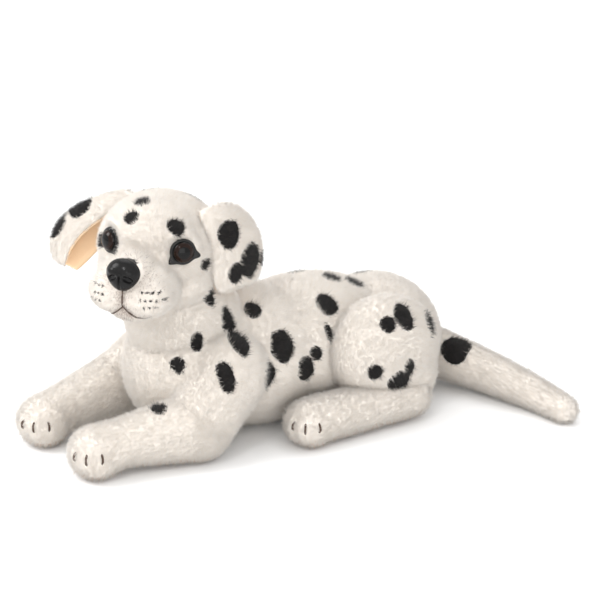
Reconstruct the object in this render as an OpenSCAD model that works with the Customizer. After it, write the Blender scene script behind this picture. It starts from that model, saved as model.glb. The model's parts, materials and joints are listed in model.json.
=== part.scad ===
// Plush dog lying down, sewn from short-pile fabric and stuffed.
// The dog faces -Y and its left side is +X. The origin is on the surface it lies on, under its belly.

/* [Torso] */
// Width of the rib cage
torso_w = 88; // [74:1:106]
// Height of the back over the belly
belly_top = 83; // [70:1:98]
// Height of the back over the shoulders
chest_top = 82; // [70:1:98]
// Height of the rump
rump_top = 74; // [62:1:88]
// Distance from shoulder centre to hip centre
shoulder_to_hip = 124; // [104:1:148]
// Shoulder centre, measured forwards from the middle of the belly
shoulder_forward = 74; // [62:1:88]
// How deep the soft underside presses flat against the floor
sag = 4; // [2:0.5:5]

/* [Fabric] */
// Thickness of the plush fabric with its pile
fabric_t = 2.4; // [1.6:0.1:3]
// Thickness of the ear lining and the sole patches
suede_t = 1.2; // [0.8:0.1:1.6]
// Height above the floor of the seam between side panels and belly panel
belly_seam = 15; // [10:1:20]

/* [Head] */
// Width of the skull
head_w = 70; // [60:1:82]
// Height of the skull
skull_h = 60; // [50:1:70]
// Length of the skull, front to back
skull_len = 68; // [58:1:80]
// How far the muzzle reaches in front of the head's centre
muzzle_reach = 57; // [50:1:66]
// Width of the muzzle
muzzle_w = 50; // [42:1:58]
// Height of the head's centre above the floor
head_z = 112; // [104:1:124]
// How far the head looks to its left
head_yaw = 43; // [20:1:55]
// How far the head leans to its left
head_roll = 4; // [0:1:8]
// Radius of the neck where it joins the shoulders
neck_r = 32; // [28:1:35]

/* [Eyes and nose] */
// Diameter of an eye's dome
eye_d = 13; // [11:0.5:15]
// Distance between the two eyes
eye_gap = 43; // [38:1:48]
// Height of the eyes above the head's centre
eye_up = 9; // [5:1:13]
// Width of the nose
nose_w = 18; // [15:0.5:21]
// Height of the nose
nose_h = 16; // [13:0.5:19]
// Radius of the shank behind an eye or the nose
shank_r = 2; // [1.6:0.1:2.4]
// Radial clearance between a shank and its washer
shank_clearance = 0.05; // [0.02:0.01:0.1]
// Thickness of a lock washer
washer_t = 1.6; // [1.2:0.1:2]
// Radius of a lock washer
washer_r = 5.2; // [4.5:0.1:6]

/* [Ears] */
// Length of an ear from root to tip
ear_len = 56; // [48:1:62]
// Width of an ear at its widest
ear_w = 34; // [28:1:40]
// How far the left ear stands away from the head
left_ear_splay = 18; // [10:1:24]
// How far the right ear stands away from the head
right_ear_splay = 44; // [14:1:50]

/* [Front legs] */
// Radius of an elbow
elbow_r = 20; // [18:1:23]
// How far an elbow's centre lies inside the torso's side
elbow_in = 4; // [0:1:8]
// How far the left elbow lies in front of the shoulder
left_elbow_forward = 23; // [20:1:28]
// How far the right elbow lies in front of the shoulder
right_elbow_forward = 34; // [20:1:36]
// How far the right forearm is swung inwards
right_forearm_turn = 14; // [0:1:16]
// Forearm length, from elbow centre to paw centre
forearm_len = 59; // [50:1:70]
// Radius of the forearm at the wrist
wrist_r = 13.5; // [11:0.5:15]
// Radius of a front paw
front_paw_r = 15.5; // [13:0.5:18]

/* [Hind legs] */
// Length of a thigh, front to back
thigh_len = 74; // [62:1:84]
// Height of the left thigh above the floor
left_thigh_top = 75; // [64:1:86]
// Height of the right thigh above the floor, the side the dog leans away from
right_thigh_top = 62; // [56:1:86]
// How far a thigh stands out from the torso's side
thigh_out = 22; // [18:1:26]
// Radius of a heel
heel_r = 14; // [12:0.5:15.5]
// Foot length, from heel centre to paw centre
foot_len = 74; // [62:1:86]
// Radius of a hind paw
hind_paw_r = 15; // [13:0.5:17]

/* [Tail] */
// Radius of the tail at its root
tail_root_r = 15; // [12:0.5:17]
// Radius of the tail at its tip
tail_tip_r = 8.5; // [7:0.5:10]
// Length of the tail
tail_len = 104; // [88:1:124]
// How far the tail is swept to the dog's left at the root, away from straight back
tail_sweep = 62; // [50:1:66]

/* [Stitches] */
// Radius of the embroidery thread
thread_r = 0.7; // [0.5:0.1:0.9]
// Number of claws stitched on each paw
claws = 3; // [2:1:4]
// Length of a claw stitch
claw_len = 6; // [4:0.5:8]
// How far the claws sit round a paw: outwards, but to the dog's left on the right front one, degrees
claw_facing = 46; // [0:1:50]

/* [Hidden] */

plush = "white";
cotton = "linen";
suede = "sandybrown";
hard_black = "#101010";
thread = "#2a211c";

$fn = 20;
LEFT = 1;
RIGHT = -1;
gap = 0.4;      // clearance between pieces that move against each other
snug = 0.02;    // clearance between pieces of one body that lie on each other
far = 500;      // longer than anything here, for half-space cuts

// ---- places that follow from the sizes

shoulder_y = -shoulder_forward;
hip_y = shoulder_y + shoulder_to_hip;
belly_y = (shoulder_y + hip_y) / 2 + 7;
// The hips are a little shorter front to back than they are wide.
hip_half_len = 38;
chest_half_len = 46;

// Legs are laid out on the left and mirrored for the right side.
elbow_x = torso_w / 2 - elbow_in;
function elbow_c(side) =
    [elbow_x, shoulder_y - (side == LEFT ? left_elbow_forward : right_elbow_forward), elbow_r - sag / 2];
function front_paw_c(side) =
    let (turn = 5 + (side == LEFT ? 0 : right_forearm_turn))
    [
        elbow_c(side).x - forearm_len * sin(turn),
        elbow_c(side).y - forearm_len * cos(turn),
        front_paw_r - sag / 4
    ];

heel_c = [torso_w / 2 + heel_r - 7, hip_y - 9, heel_r];
hind_paw_c = heel_c + [5, -foot_len, hind_paw_r - sag / 4 - heel_c.z];
foot_top = 2 * heel_r;

neck_c = [0, shoulder_y - 10, chest_top - 6];
neck_tilt = 26;
head_c = [3, shoulder_y - 24, head_z];

tail_pivot = [8, hip_y + hip_half_len - 6, tail_root_r + 5];

cheek_r = 19;
eye_y = -24;
nose_y = -muzzle_reach + 4;
nose_z = 2;

// ---- shapes used by many pieces

// An ellipsoid of half sizes r, taken in by inset on every side.
module egg(c, r, inset = 0)
    translate(c)
        scale([r.x - inset, r.y - inset, r.z - inset])
            sphere(r = 1);

module ball(c, r)
    translate(c)
        sphere(r = r);

// Everything at or above height z.
module above(z)
    translate([-far, -far, z])
        cube(2 * far);

// Everything at or below height z.
module below(z)
    translate([-far, -far, z - 2 * far])
        cube(2 * far);

// Mirrors its children to the dog's right when side is RIGHT.
module on_side(side)
    mirror([side == RIGHT ? 1 : 0, 0, 0])
        children();

// The first child hollowed out by the second.
module shell_of() {
    difference() {
        children(0);
        children(1);
    }
}

// A rod with round ends from a to b.
module rod(a, b, r) {
    hull() {
        translate(a) sphere(r = r, $fn = 8);
        translate(b) sphere(r = r, $fn = 8);
    }
}

// ---- torso

module in_neck_frame()
    translate(neck_c)
        rotate([neck_tilt, 0, 0])
            children();

// Leaves what lies below the neck's joint.
module below_neck()
    intersection() {
        children();
        in_neck_frame() below(-gap / 2);
    }

// The whole torso with the shoulders and upper arms, flat on the floor.
module torso_form(inset = 0) {
    intersection() {
        union() {
            hull() {
                egg([0, shoulder_y, (chest_top - sag) / 2], [torso_w / 2, chest_half_len, (chest_top + sag) / 2], inset);
                egg([0, belly_y, (belly_top - sag) / 2], [torso_w / 2, 60, (belly_top + sag) / 2], inset);
                egg([0, hip_y, (rump_top - sag) / 2], [torso_w / 2, hip_half_len, (rump_top + sag) / 2], inset);
            }
            hull() {
                ball(neck_c, neck_r - inset);
                ball([0, shoulder_y, chest_top - 28], neck_r + 6 - inset);
            }
            for (side = [LEFT, RIGHT])
                on_side(side)
                    hull() {
                        ball(elbow_c(side), elbow_r - inset);
                        ball([elbow_x - 10, shoulder_y, elbow_r + 26], elbow_r + 4 - inset);
                    }
            hull() ball(tail_pivot, tail_root_r + 1 - inset);
        }
        above(inset);
    }
}

module torso_shell()
    below_neck()
        shell_of() {
            torso_form();
            torso_form(fabric_t);
        }

module torso_side_panel(side) {
    color(plush)
        intersection() {
            torso_shell();
            on_side(side)
                translate([0, -far, belly_seam])
                    cube(2 * far);
        }
}

module belly_panel() {
    color(plush)
        intersection() {
            torso_shell();
            below(belly_seam);
        }
}

module torso_stuffing() {
    color(cotton)
        below_neck()
            torso_form(fabric_t + snug);
}

// ---- thighs, each one lobe with its heel under it

module heel_core(grow = 0) {
    hull() {
        ball(heel_c, heel_r + grow);
        translate(heel_c) cylinder(r = heel_r + grow, h = foot_top - heel_c.z + 8);
    }
}

module thigh_form(side, inset = 0) {
    thigh_top = side == LEFT ? left_thigh_top : right_thigh_top;
    thigh_c = [torso_w / 2, hip_y - 25, (foot_top + thigh_top) / 2 - 8];
    intersection() {
        union() {
            intersection() {
                hull() {
                    egg(thigh_c, [thigh_out, thigh_len / 2, thigh_top - thigh_c.z], inset);
                    ball([heel_c.x - 2, heel_c.y - 2, foot_top + 6], heel_r + 1 - inset);
                }
                above(foot_top + gap + inset);
            }
            heel_core(-inset);
        }
        above(inset);
    }
}

// Leaves what stands out from the torso.
module beside_torso()
    difference() {
        children();
        torso_form(-snug);
    }

module thigh_panel(side) {
    color(plush)
        on_side(side)
            beside_torso()
                shell_of() {
                    thigh_form(side);
                    thigh_form(side, fabric_t);
                }
}

module thigh_stuffing(side) {
    color(cotton)
        on_side(side)
            beside_torso()
                thigh_form(side, fabric_t + snug);
}

// ---- head, drawn facing -Y about its own centre and then turned

module in_head_frame()
    translate(head_c)
        rotate([0, head_roll, head_yaw])
            children();

// The frame of an eye: +Z points out of the head along the eye's shank.
module in_eye_frame(side)
    translate([side * eye_gap / 2, eye_y, eye_up])
        rotate([0, 0, side * 32])
            rotate([84, 0, 0])
                children();

module in_nose_frame()
    translate([0, nose_y, nose_z])
        rotate([80, 0, 0])
            children();

module skull_form(inset) {
    hull() {
        egg([0, 0, 4], [head_w / 2, skull_len / 2, skull_h / 2], inset);
        for (side = [LEFT, RIGHT])
            ball([side * (head_w / 2 - cheek_r), -8, -14], cheek_r - inset);
    }
    hull() {
        egg([0, 23 - muzzle_reach, -13], [muzzle_w / 2, 22, 21], inset);
        egg([0, 20 - muzzle_reach, -2], [13, 19, 11], inset);
        ball([0, -10, -6], 24 - inset);
    }
}

// Fabric is pulled flat behind each eye and behind the nose.
module flats(grow = 0) {
    for (side = [LEFT, RIGHT])
        in_eye_frame(side)
            translate([0, 0, -fabric_t - grow])
                cylinder(r = eye_d / 2 + 3 + grow, h = fabric_t + 2 * grow);
    in_nose_frame()
        translate([0, 0, -fabric_t - grow])
            cylinder(r = nose_w / 2 + 1 + grow, h = fabric_t + 2 * grow);
}

// Room for a shank and its washer inside the fabric, and for what sits on the flat, of radius r.
module socket(r) {
    cylinder(r = r, h = 30);
    translate([0, 0, -20]) cylinder(r = shank_r + 0.3, h = 30);
    translate([0, 0, -fabric_t - washer_t - 0.6]) cylinder(r = washer_r + 0.3, h = washer_t + 0.5);
}

module sockets() {
    for (side = [LEFT, RIGHT])
        in_eye_frame(side) socket(eye_d / 2 + 3.4);
    in_nose_frame() socket(nose_w / 2 + 0.6);
}

// Room in the stuffing for the shanks and their washers.
module shank_room() {
    for (side = [LEFT, RIGHT])
        in_eye_frame(side) {
            translate([0, 0, -12]) cylinder(r = eye_d / 2 + 1, h = 42);
            // The rim's corners reach further out, over the fabric.
            translate([0, 0, -snug]) cylinder(r = eye_d / 2 + 3.6, h = 30);
        }
    in_nose_frame()
        translate([0, 0, -12]) cylinder(r = eye_d / 2 + 1, h = 42);
}

// Leaves what lies above the neck's joint.
module above_neck()
    intersection() {
        children();
        in_neck_frame() above(gap / 2);
    }

// Head and neck.
module head_form(inset = 0) {
    in_head_frame() skull_form(inset);
    hull() {
        ball(neck_c, neck_r - inset);
        ball(head_c + [0, 3, -14], neck_r - 5 - inset);
    }
}

module head_shell()
    above_neck()
        difference() {
            union() {
                shell_of() {
                    head_form();
                    head_form(fabric_t);
                }
                intersection() {
                    head_form();
                    in_head_frame() flats();
                }
            }
            in_head_frame() sockets();
            in_head_frame() mouth_line(thread_r + snug);
        }

chin_seam = -24;
gusset_half = 9;

module head_side_panel(side) {
    color(plush)
        intersection() {
            head_shell();
            in_head_frame()
                on_side(side)
                    translate([gusset_half, -far, chin_seam])
                        cube(2 * far);
        }
}

module head_gusset() {
    color(plush)
        intersection() {
            head_shell();
            in_head_frame()
                translate([-gusset_half, -far, chin_seam])
                    cube([2 * gusset_half, 2 * far, far]);
        }
}

module chin_panel() {
    color(plush)
        intersection() {
            head_shell();
            in_head_frame() below(chin_seam);
        }
}

module head_stuffing() {
    color(cotton)
        above_neck()
            difference() {
                head_form(fabric_t + snug);
                in_head_frame() flats(snug);
                in_head_frame() shank_room();
            }
}

// ---- eyes, rims, nose and washers

dome_h = eye_d * 0.42;
rim_t = 1;

module eye(side) {
    dome_r = (pow(eye_d / 2, 2) + pow(dome_h, 2)) / (2 * dome_h);
    color(hard_black)
        in_head_frame()
            in_eye_frame(side) {
                translate([0, 0, rim_t + snug])
                    intersection() {
                        translate([0, 0, dome_h - dome_r]) sphere(r = dome_r, $fn = 48);
                        cylinder(r = eye_d / 2, h = eye_d, $fn = 48);
                    }
                translate([0, 0, -10]) cylinder(r = shank_r, h = 10 + rim_t + snug + 0.5, $fn = 32);
            }
}

// Radius of a rim's outline: round, drawn out to a point at both corners of the eye.
function rim_r(angle) =
    let (off = min(abs(angle - 335), abs(angle - 205), abs(angle + 25)))
    eye_d / 2 + 0.8 + 2.4 * max(0, 1 - off / 26);

// Black leatherette under the dome.
module eye_rim(side) {
    color(hard_black)
        in_head_frame()
            in_eye_frame(side)
                translate([0, 0, snug])
                    linear_extrude(rim_t - snug)
                        difference() {
                            polygon([for (angle = [0:10:350]) rim_r(angle + 5) * [cos(angle + 5), sin(angle + 5)]]);
                            circle(r = shank_r + 0.2, $fn = 32);
                        }
}

module washer()
    translate([0, 0, -fabric_t - 0.3 - washer_t])
        difference() {
            cylinder(r = washer_r, h = washer_t, $fn = 32);
            translate([0, 0, -1]) cylinder(r = shank_r + shank_clearance, h = washer_t + 2, $fn = 32);
        }

module eye_washer(side) {
    color("gainsboro")
        in_head_frame()
            in_eye_frame(side)
                washer();
}

module nose() {
    color(hard_black)
        in_head_frame()
            in_nose_frame() {
                intersection() {
                    hull() {
                        translate([0, nose_h * 0.12, 1])
                            scale([nose_w / 2, nose_h * 0.38, 6])
                                sphere(r = 1);
                        translate([0, -nose_h * 0.25, 1])
                            scale([nose_w * 0.28, nose_h * 0.25, 4.5])
                                sphere(r = 1);
                    }
                    above(snug);
                }
                translate([0, 0, -10]) cylinder(r = shank_r, h = 11, $fn = 32);
            }
}

module nose_washer() {
    color("gainsboro")
        in_head_frame()
            in_nose_frame()
                washer();
}

// ---- mouth, embroidered in thread on the seam between muzzle and chin

mouth_drop = -17;

// Height of the mouth line to one side of the middle, in the head's frame.
function mouth_point(x) = [x, -muzzle_skin(x, mouth_z(x)), mouth_z(x)];
function mouth_z(x) = mouth_drop - 5.2 * sin(min(abs(x) * 8, 90)) - 0.06 * abs(x);
// How far forward the muzzle's surface is at x, z.
function muzzle_skin(x, z) =
    muzzle_reach - 23 + 22 * sqrt(max(0, 1 - pow(x / (muzzle_w / 2), 2) - pow((z + 13) / 21, 2)));

module mouth_line(r) {
    for (side = [LEFT, RIGHT])
        for (i = [0:3])
            rod(mouth_point(side * i * 3.6), mouth_point(side * (i + 1) * 3.6), r);
    rod(mouth_point(0), [0, -muzzle_skin(0, nose_z - nose_h / 2 - 1.5), nose_z - nose_h / 2 - 1.5], r);
}

module mouth_stitching() {
    color(thread)
        in_head_frame() mouth_line(thread_r);
}

// ---- ears: a plush outer leaf and a suede lining, cupped along their length

EAR_STEPS = 10;
EAR_ACROSS = 8;
// The root seam follows the skull; below it the ear twists to face forwards.
ear_seat = 14;
ear_twist = 46;
ear_root = [head_w / 2 - 4.6, 8, 23];

// Distance from the ear's axis to its front edge and to its rear edge, at share s of its length.
function ear_front(s) = ear_w * (0.32 + 0.30 * s) * (1 - 0.12 * pow(s, 8));
function ear_rear(s) = ear_w * (s < 0.55
    ? 0.30 + 0.34 * sin(160 * s)
    : -0.36 + 1.00 * sqrt(1 - pow((s - 0.55) / 0.45, 2)));
// The ear leaves the head outwards and bends down within its first quarter.
function ear_angle(s) = 22 + 66 * min(1, s / 0.26);
function sum(v, i = 0) = i >= len(v) ? 0 : v[i] + sum(v, i + 1);
function ear_out(s, n = 12) = sum([for (i = [0:n - 1]) cos(ear_angle(s * (i + 0.5) / n)) * ear_len * s / n]);
function ear_down(s, n = 12) = sum([for (i = [0:n - 1]) sin(ear_angle(s * (i + 0.5) / n)) * ear_len * s / n]);

// A point of the ear: s along it, t from -1 at the front edge to 1 at the rear edge, lift off its inner face.
function ear_point(s, t, lift) =
    let (
        across = (t - 1) / 2 * ear_front(s) + (t + 1) / 2 * ear_rear(s),
        cup = pow(across / ear_w, 2) * 10 * min(1, s * 3),
        off = (lift - cup) * [sin(ear_angle(s)), cos(ear_angle(s))],
        twist = ear_twist * min(1, s / 0.4)
    )
    [
        ear_out(s) + off.x * cos(twist) + across * sin(twist),
        across * cos(twist) - off.x * sin(twist),
        off.y - ear_down(s)
    ];

module ear_leaf(low, high) {
    rows = EAR_STEPS + 1;
    cols = EAR_ACROSS + 1;
    count = rows * cols;
    points = [
        for (lift = [low, high])
            for (i = [0:EAR_STEPS])
                for (j = [0:EAR_ACROSS])
                    ear_point(i / EAR_STEPS, 2 * j / EAR_ACROSS - 1, lift)
    ];
    function at(layer, i, j) = layer * count + i * cols + j;
    faces = concat(
        [for (i = [0:EAR_STEPS - 1]) for (j = [0:EAR_ACROSS - 1]) each
            [[at(0, i, j), at(0, i, j + 1), at(0, i + 1, j + 1)], [at(0, i, j), at(0, i + 1, j + 1), at(0, i + 1, j)]]],
        [for (i = [0:EAR_STEPS - 1]) for (j = [0:EAR_ACROSS - 1]) each
            [[at(1, i, j), at(1, i + 1, j + 1), at(1, i, j + 1)], [at(1, i, j), at(1, i + 1, j), at(1, i + 1, j + 1)]]],
        [for (i = [0:EAR_STEPS - 1]) each
            [[at(0, i, 0), at(0, i + 1, 0), at(1, i + 1, 0)], [at(0, i, 0), at(1, i + 1, 0), at(1, i, 0)]]],
        [for (i = [0:EAR_STEPS - 1]) each
            [[at(0, i, EAR_ACROSS), at(1, i, EAR_ACROSS), at(1, i + 1, EAR_ACROSS)],
             [at(0, i, EAR_ACROSS), at(1, i + 1, EAR_ACROSS), at(0, i + 1, EAR_ACROSS)]]],
        [for (j = [0:EAR_ACROSS - 1]) each
            [[at(0, 0, j), at(1, 0, j), at(1, 0, j + 1)], [at(0, 0, j), at(1, 0, j + 1), at(0, 0, j + 1)]]],
        [for (j = [0:EAR_ACROSS - 1]) each
            [[at(0, EAR_STEPS, j), at(1, EAR_STEPS, j + 1), at(1, EAR_STEPS, j)],
             [at(0, EAR_STEPS, j), at(0, EAR_STEPS, j + 1), at(1, EAR_STEPS, j + 1)]]]
    );
    polyhedron(points = points, faces = faces);
}

// The ear's root seam is its hinge: +Y of this frame runs along it.
module in_ear_frame(side)
    on_side(side)
        translate(ear_root)
            rotate([0, 0, ear_seat])
                rotate([0, side == LEFT ? -left_ear_splay : -right_ear_splay, 0])
                    children();

module ear_outer(side) {
    color(plush)
        in_head_frame()
            in_ear_frame(side)
                ear_leaf(suede_t, suede_t + fabric_t);
}

module ear_lining(side) {
    color(suede)
        in_head_frame()
            in_ear_frame(side)
                ear_leaf(0, suede_t);
}

// ---- claws, stitched over the front of a paw

module claw_stitches(paw_c, paw_r, r, facing) {
    for (i = [0:claws - 1]) {
        spread = claws > 1 ? (i / (claws - 1) - 0.5) * 74 : 0;
        bend = claw_len / paw_r * 180 / PI;
        // Two rods follow the paw's round front.
        for (k = [0, 1])
            translate(paw_c)
                rotate([0, 0, facing + spread])
                    hull()
                        for (up = [18 - bend / 2 * k, 18 - bend / 2 * (k + 1)])
                            translate([0, -paw_r * cos(up), paw_r * sin(up)])
                                sphere(r = r, $fn = 8);
    }
}

// ---- front legs: forearm and paw, from the elbow forwards

// The upright core of an elbow, about which the forearm swings.
module elbow_core(side, grow = 0) {
    ball(elbow_c(side), elbow_r + grow);
    translate(elbow_c(side)) cylinder(r = elbow_r + grow, h = elbow_r, $fn = 32);
}

module forearm_form(side, inset = 0) {
    wrist_c = lerp3(elbow_c(side), front_paw_c(side), 0.72);
    wrist = [wrist_c.x, wrist_c.y, wrist_r];
    intersection() {
        union() {
            hull() {
                ball(elbow_c(side), elbow_r - 4 - inset);
                ball(wrist, wrist_r - inset);
            }
            hull() {
                ball(wrist, wrist_r - inset);
                ball(front_paw_c(side), front_paw_r - inset);
            }
        }
        above(inset);
    }
}

// Leaves what lies past the elbow.
module past_elbow(side)
    difference() {
        children();
        elbow_core(side, gap);
    }

function lerp3(a, b, t) = a + (b - a) * t;

// The patch under a paw, a suede oval let into the plush.
module sole_form(paw_c, paw_r, grow = 0) {
    translate([paw_c.x, paw_c.y + paw_r * 0.1, 0])
        linear_extrude(suede_t + grow)
            hull() {
                translate([0, -paw_r * 0.12]) circle(r = paw_r * 0.28 + grow, $fn = 24);
                translate([0, paw_r * 0.4]) circle(r = paw_r * 0.24 + grow, $fn = 24);
            }
}

module forearm_panel(side) {
    color(plush)
        on_side(side)
            difference() {
                past_elbow(side)
                    shell_of() {
                        forearm_form(side);
                        forearm_form(side, fabric_t);
                    }
                claw_stitches(front_paw_c(side), front_paw_r, thread_r + snug, side * claw_facing);
                translate([0, 0, -1]) sole_form(front_paw_c(side), front_paw_r, snug + 1);
            }
}

module forearm_stuffing(side) {
    color(cotton)
        on_side(side)
            past_elbow(side)
                forearm_form(side, fabric_t + snug);
}

module front_sole(side) {
    color(suede)
        on_side(side)
            sole_form(front_paw_c(side), front_paw_r);
}

module front_claws(side) {
    color(thread)
        on_side(side)
            claw_stitches(front_paw_c(side), front_paw_r, thread_r, side * claw_facing);
}

// ---- hind feet, each swung about its heel

module foot_form(inset = 0) {
    ankle_c = lerp3(heel_c, hind_paw_c, 0.68);
    ankle = [ankle_c.x, ankle_c.y, heel_r - 1];
    intersection() {
        union() {
            hull() {
                ball(heel_c, heel_r - 1 - inset);
                ball(ankle, heel_r - 1 - inset);
            }
            hull() {
                ball(ankle, heel_r - 1 - inset);
                ball(hind_paw_c, hind_paw_r - inset);
            }
        }
        above(inset);
        below(foot_top - inset);
    }
}

// Leaves what lies in front of the heel.
module past_heel()
    difference() {
        children();
        heel_core(gap);
    }

module foot_panel(side) {
    color(plush)
        on_side(side)
            difference() {
                past_heel()
                    shell_of() {
                        foot_form();
                        foot_form(fabric_t);
                    }
                claw_stitches(hind_paw_c, hind_paw_r, thread_r + snug, claw_facing);
                translate([0, 0, -1]) sole_form(hind_paw_c, hind_paw_r, snug + 1);
            }
}

module foot_stuffing(side) {
    color(cotton)
        on_side(side)
            past_heel()
                foot_form(fabric_t + snug);
}

module hind_sole(side) {
    color(suede)
        on_side(side)
            sole_form(hind_paw_c, hind_paw_r);
}

module hind_claws(side) {
    color(thread)
        on_side(side)
            claw_stitches(hind_paw_c, hind_paw_r, thread_r, claw_facing);
}

// ---- tail, tapering and curving forwards towards its tip

TAIL_STEPS = 5;

function tail_r(s) = tail_root_r + (tail_tip_r - tail_root_r) * s;
function tail_heading(s) = 90 - tail_sweep - 28 * pow(s, 1.2);
function tail_x(s, n = 16) =
    tail_pivot.x + sum([for (i = [0:n - 1]) cos(tail_heading(s * (i + 0.5) / n)) * tail_len * s / n]);
function tail_y(s, n = 16) =
    tail_pivot.y + sum([for (i = [0:n - 1]) sin(tail_heading(s * (i + 0.5) / n)) * tail_len * s / n]);
function tail_z(s) = tail_r(s) + (tail_pivot.z - tail_root_r) * pow(1 - s, 2);
function tail_c(s) = [tail_x(s), tail_y(s), tail_z(s)];

module tail_form(inset = 0) {
    for (i = [0:TAIL_STEPS - 1])
        hull()
            for (s = [i / TAIL_STEPS, (i + 1) / TAIL_STEPS])
                ball(tail_c(s), tail_r(s) - inset, $fn = 16);
}

// Leaves what lies behind the tail's root.
module past_tail_root()
    difference() {
        children();
        ball(tail_pivot, tail_root_r + 1 + gap, $fn = 32);
        torso_form(-gap);
    }

module tail_panel() {
    color(plush)
        past_tail_root()
            shell_of() {
                tail_form();
                tail_form(fabric_t);
            }
}

module tail_stuffing() {
    color(cotton)
        past_tail_root()
            tail_form(fabric_t + snug);
}

// ---- the pieces

torso_side_panel(LEFT);  // torso_left_panel
torso_side_panel(RIGHT);  // torso_right_panel
belly_panel();
torso_stuffing();
thigh_panel(LEFT);  // left_thigh_panel
thigh_panel(RIGHT);  // right_thigh_panel
thigh_stuffing(LEFT);  // left_thigh_stuffing
thigh_stuffing(RIGHT);  // right_thigh_stuffing
head_side_panel(LEFT);  // head_left_panel
head_side_panel(RIGHT);  // head_right_panel
head_gusset();
chin_panel();
head_stuffing();
eye(LEFT);  // left_eye
eye(RIGHT);  // right_eye
eye_rim(LEFT);  // left_eye_rim
eye_rim(RIGHT);  // right_eye_rim
eye_washer(LEFT);  // left_eye_washer
eye_washer(RIGHT);  // right_eye_washer
nose();
nose_washer();
mouth_stitching();
ear_outer(LEFT);  // left_ear_outer
ear_lining(LEFT);  // left_ear_lining
ear_outer(RIGHT);  // right_ear_outer
ear_lining(RIGHT);  // right_ear_lining
forearm_panel(LEFT);  // front_left_leg_panel
forearm_stuffing(LEFT);  // front_left_leg_stuffing
front_sole(LEFT);  // front_left_sole
front_claws(LEFT);  // front_left_claws
forearm_panel(RIGHT);  // front_right_leg_panel
forearm_stuffing(RIGHT);  // front_right_leg_stuffing
front_sole(RIGHT);  // front_right_sole
front_claws(RIGHT);  // front_right_claws
foot_panel(LEFT);  // hind_left_foot_panel
foot_stuffing(LEFT);  // hind_left_foot_stuffing
hind_sole(LEFT);  // hind_left_sole
hind_claws(LEFT);  // hind_left_claws
foot_panel(RIGHT);  // hind_right_foot_panel
foot_stuffing(RIGHT);  // hind_right_foot_stuffing
hind_sole(RIGHT);  // hind_right_sole
hind_claws(RIGHT);  // hind_right_claws
tail_panel();
tail_stuffing();
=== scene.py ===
import json
import math

import bpy
import numpy as np
from mathutils import Matrix, Vector
from mathutils.bvhtree import BVHTree


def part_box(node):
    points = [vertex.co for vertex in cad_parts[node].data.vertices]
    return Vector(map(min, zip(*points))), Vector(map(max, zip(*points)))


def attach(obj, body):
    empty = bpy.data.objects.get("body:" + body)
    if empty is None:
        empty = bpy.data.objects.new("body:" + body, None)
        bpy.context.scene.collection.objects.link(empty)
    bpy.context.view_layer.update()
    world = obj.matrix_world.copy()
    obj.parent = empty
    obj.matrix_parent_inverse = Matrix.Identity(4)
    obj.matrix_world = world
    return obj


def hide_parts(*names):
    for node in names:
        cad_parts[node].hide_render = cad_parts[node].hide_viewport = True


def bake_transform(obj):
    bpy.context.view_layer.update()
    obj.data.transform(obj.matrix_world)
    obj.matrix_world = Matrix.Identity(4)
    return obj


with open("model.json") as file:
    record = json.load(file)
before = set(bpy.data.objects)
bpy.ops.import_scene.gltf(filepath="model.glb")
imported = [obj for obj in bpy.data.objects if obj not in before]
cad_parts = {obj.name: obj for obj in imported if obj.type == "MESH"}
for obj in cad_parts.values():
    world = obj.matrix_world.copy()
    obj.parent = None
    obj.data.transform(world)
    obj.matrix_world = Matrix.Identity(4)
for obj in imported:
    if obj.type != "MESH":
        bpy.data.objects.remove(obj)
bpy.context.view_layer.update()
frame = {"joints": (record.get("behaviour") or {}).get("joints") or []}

# ---- Torso
# Two back panels and a belly panel of plush over one firm filling. The upper arms are sewn into
# it, and their elbows stand out at the front.
MM = 0.001
SIDES = {"left": 1, "right": -1}
hinge = {j["name"]: Vector(j["pos_m"]) for j in frame["joints"]}


def lump(centre, half, turned=None):
    """An egg of filling: its centre in mm in the row frame or in the turned one, its half sizes."""
    bpy.ops.object.select_all(action="DESELECT")
    bpy.ops.mesh.primitive_uv_sphere_add(segments=32, ring_count=18, radius=MM)
    egg = bpy.context.object
    place = Matrix.Translation(Vector(centre) * MM) @ Matrix.Diagonal((*half, 1))
    egg.matrix_world = (turned or Matrix()) @ place
    bpy.ops.object.transform_apply(location=True, rotation=True, scale=True)
    return egg


def limb(start, end, r_start, r_end):
    """A stuffed tube as a row of close round lumps, between two places in mm."""
    start, end = Vector(start), Vector(end)
    steps = max(2, round((end - start).length / 4))
    shares = [i / steps for i in range(steps + 1)]
    return [lump(start.lerp(end, s), [r_start + (r_end - r_start) * s] * 3) for s in shares]


def points(obj, what="co"):
    """The vertices of a mesh, or their normals, as an array."""
    co = np.empty(len(obj.data.vertices) * 3)
    obj.data.vertices.foreach_get(what, co)
    return co.reshape(-1, 3)


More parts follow.
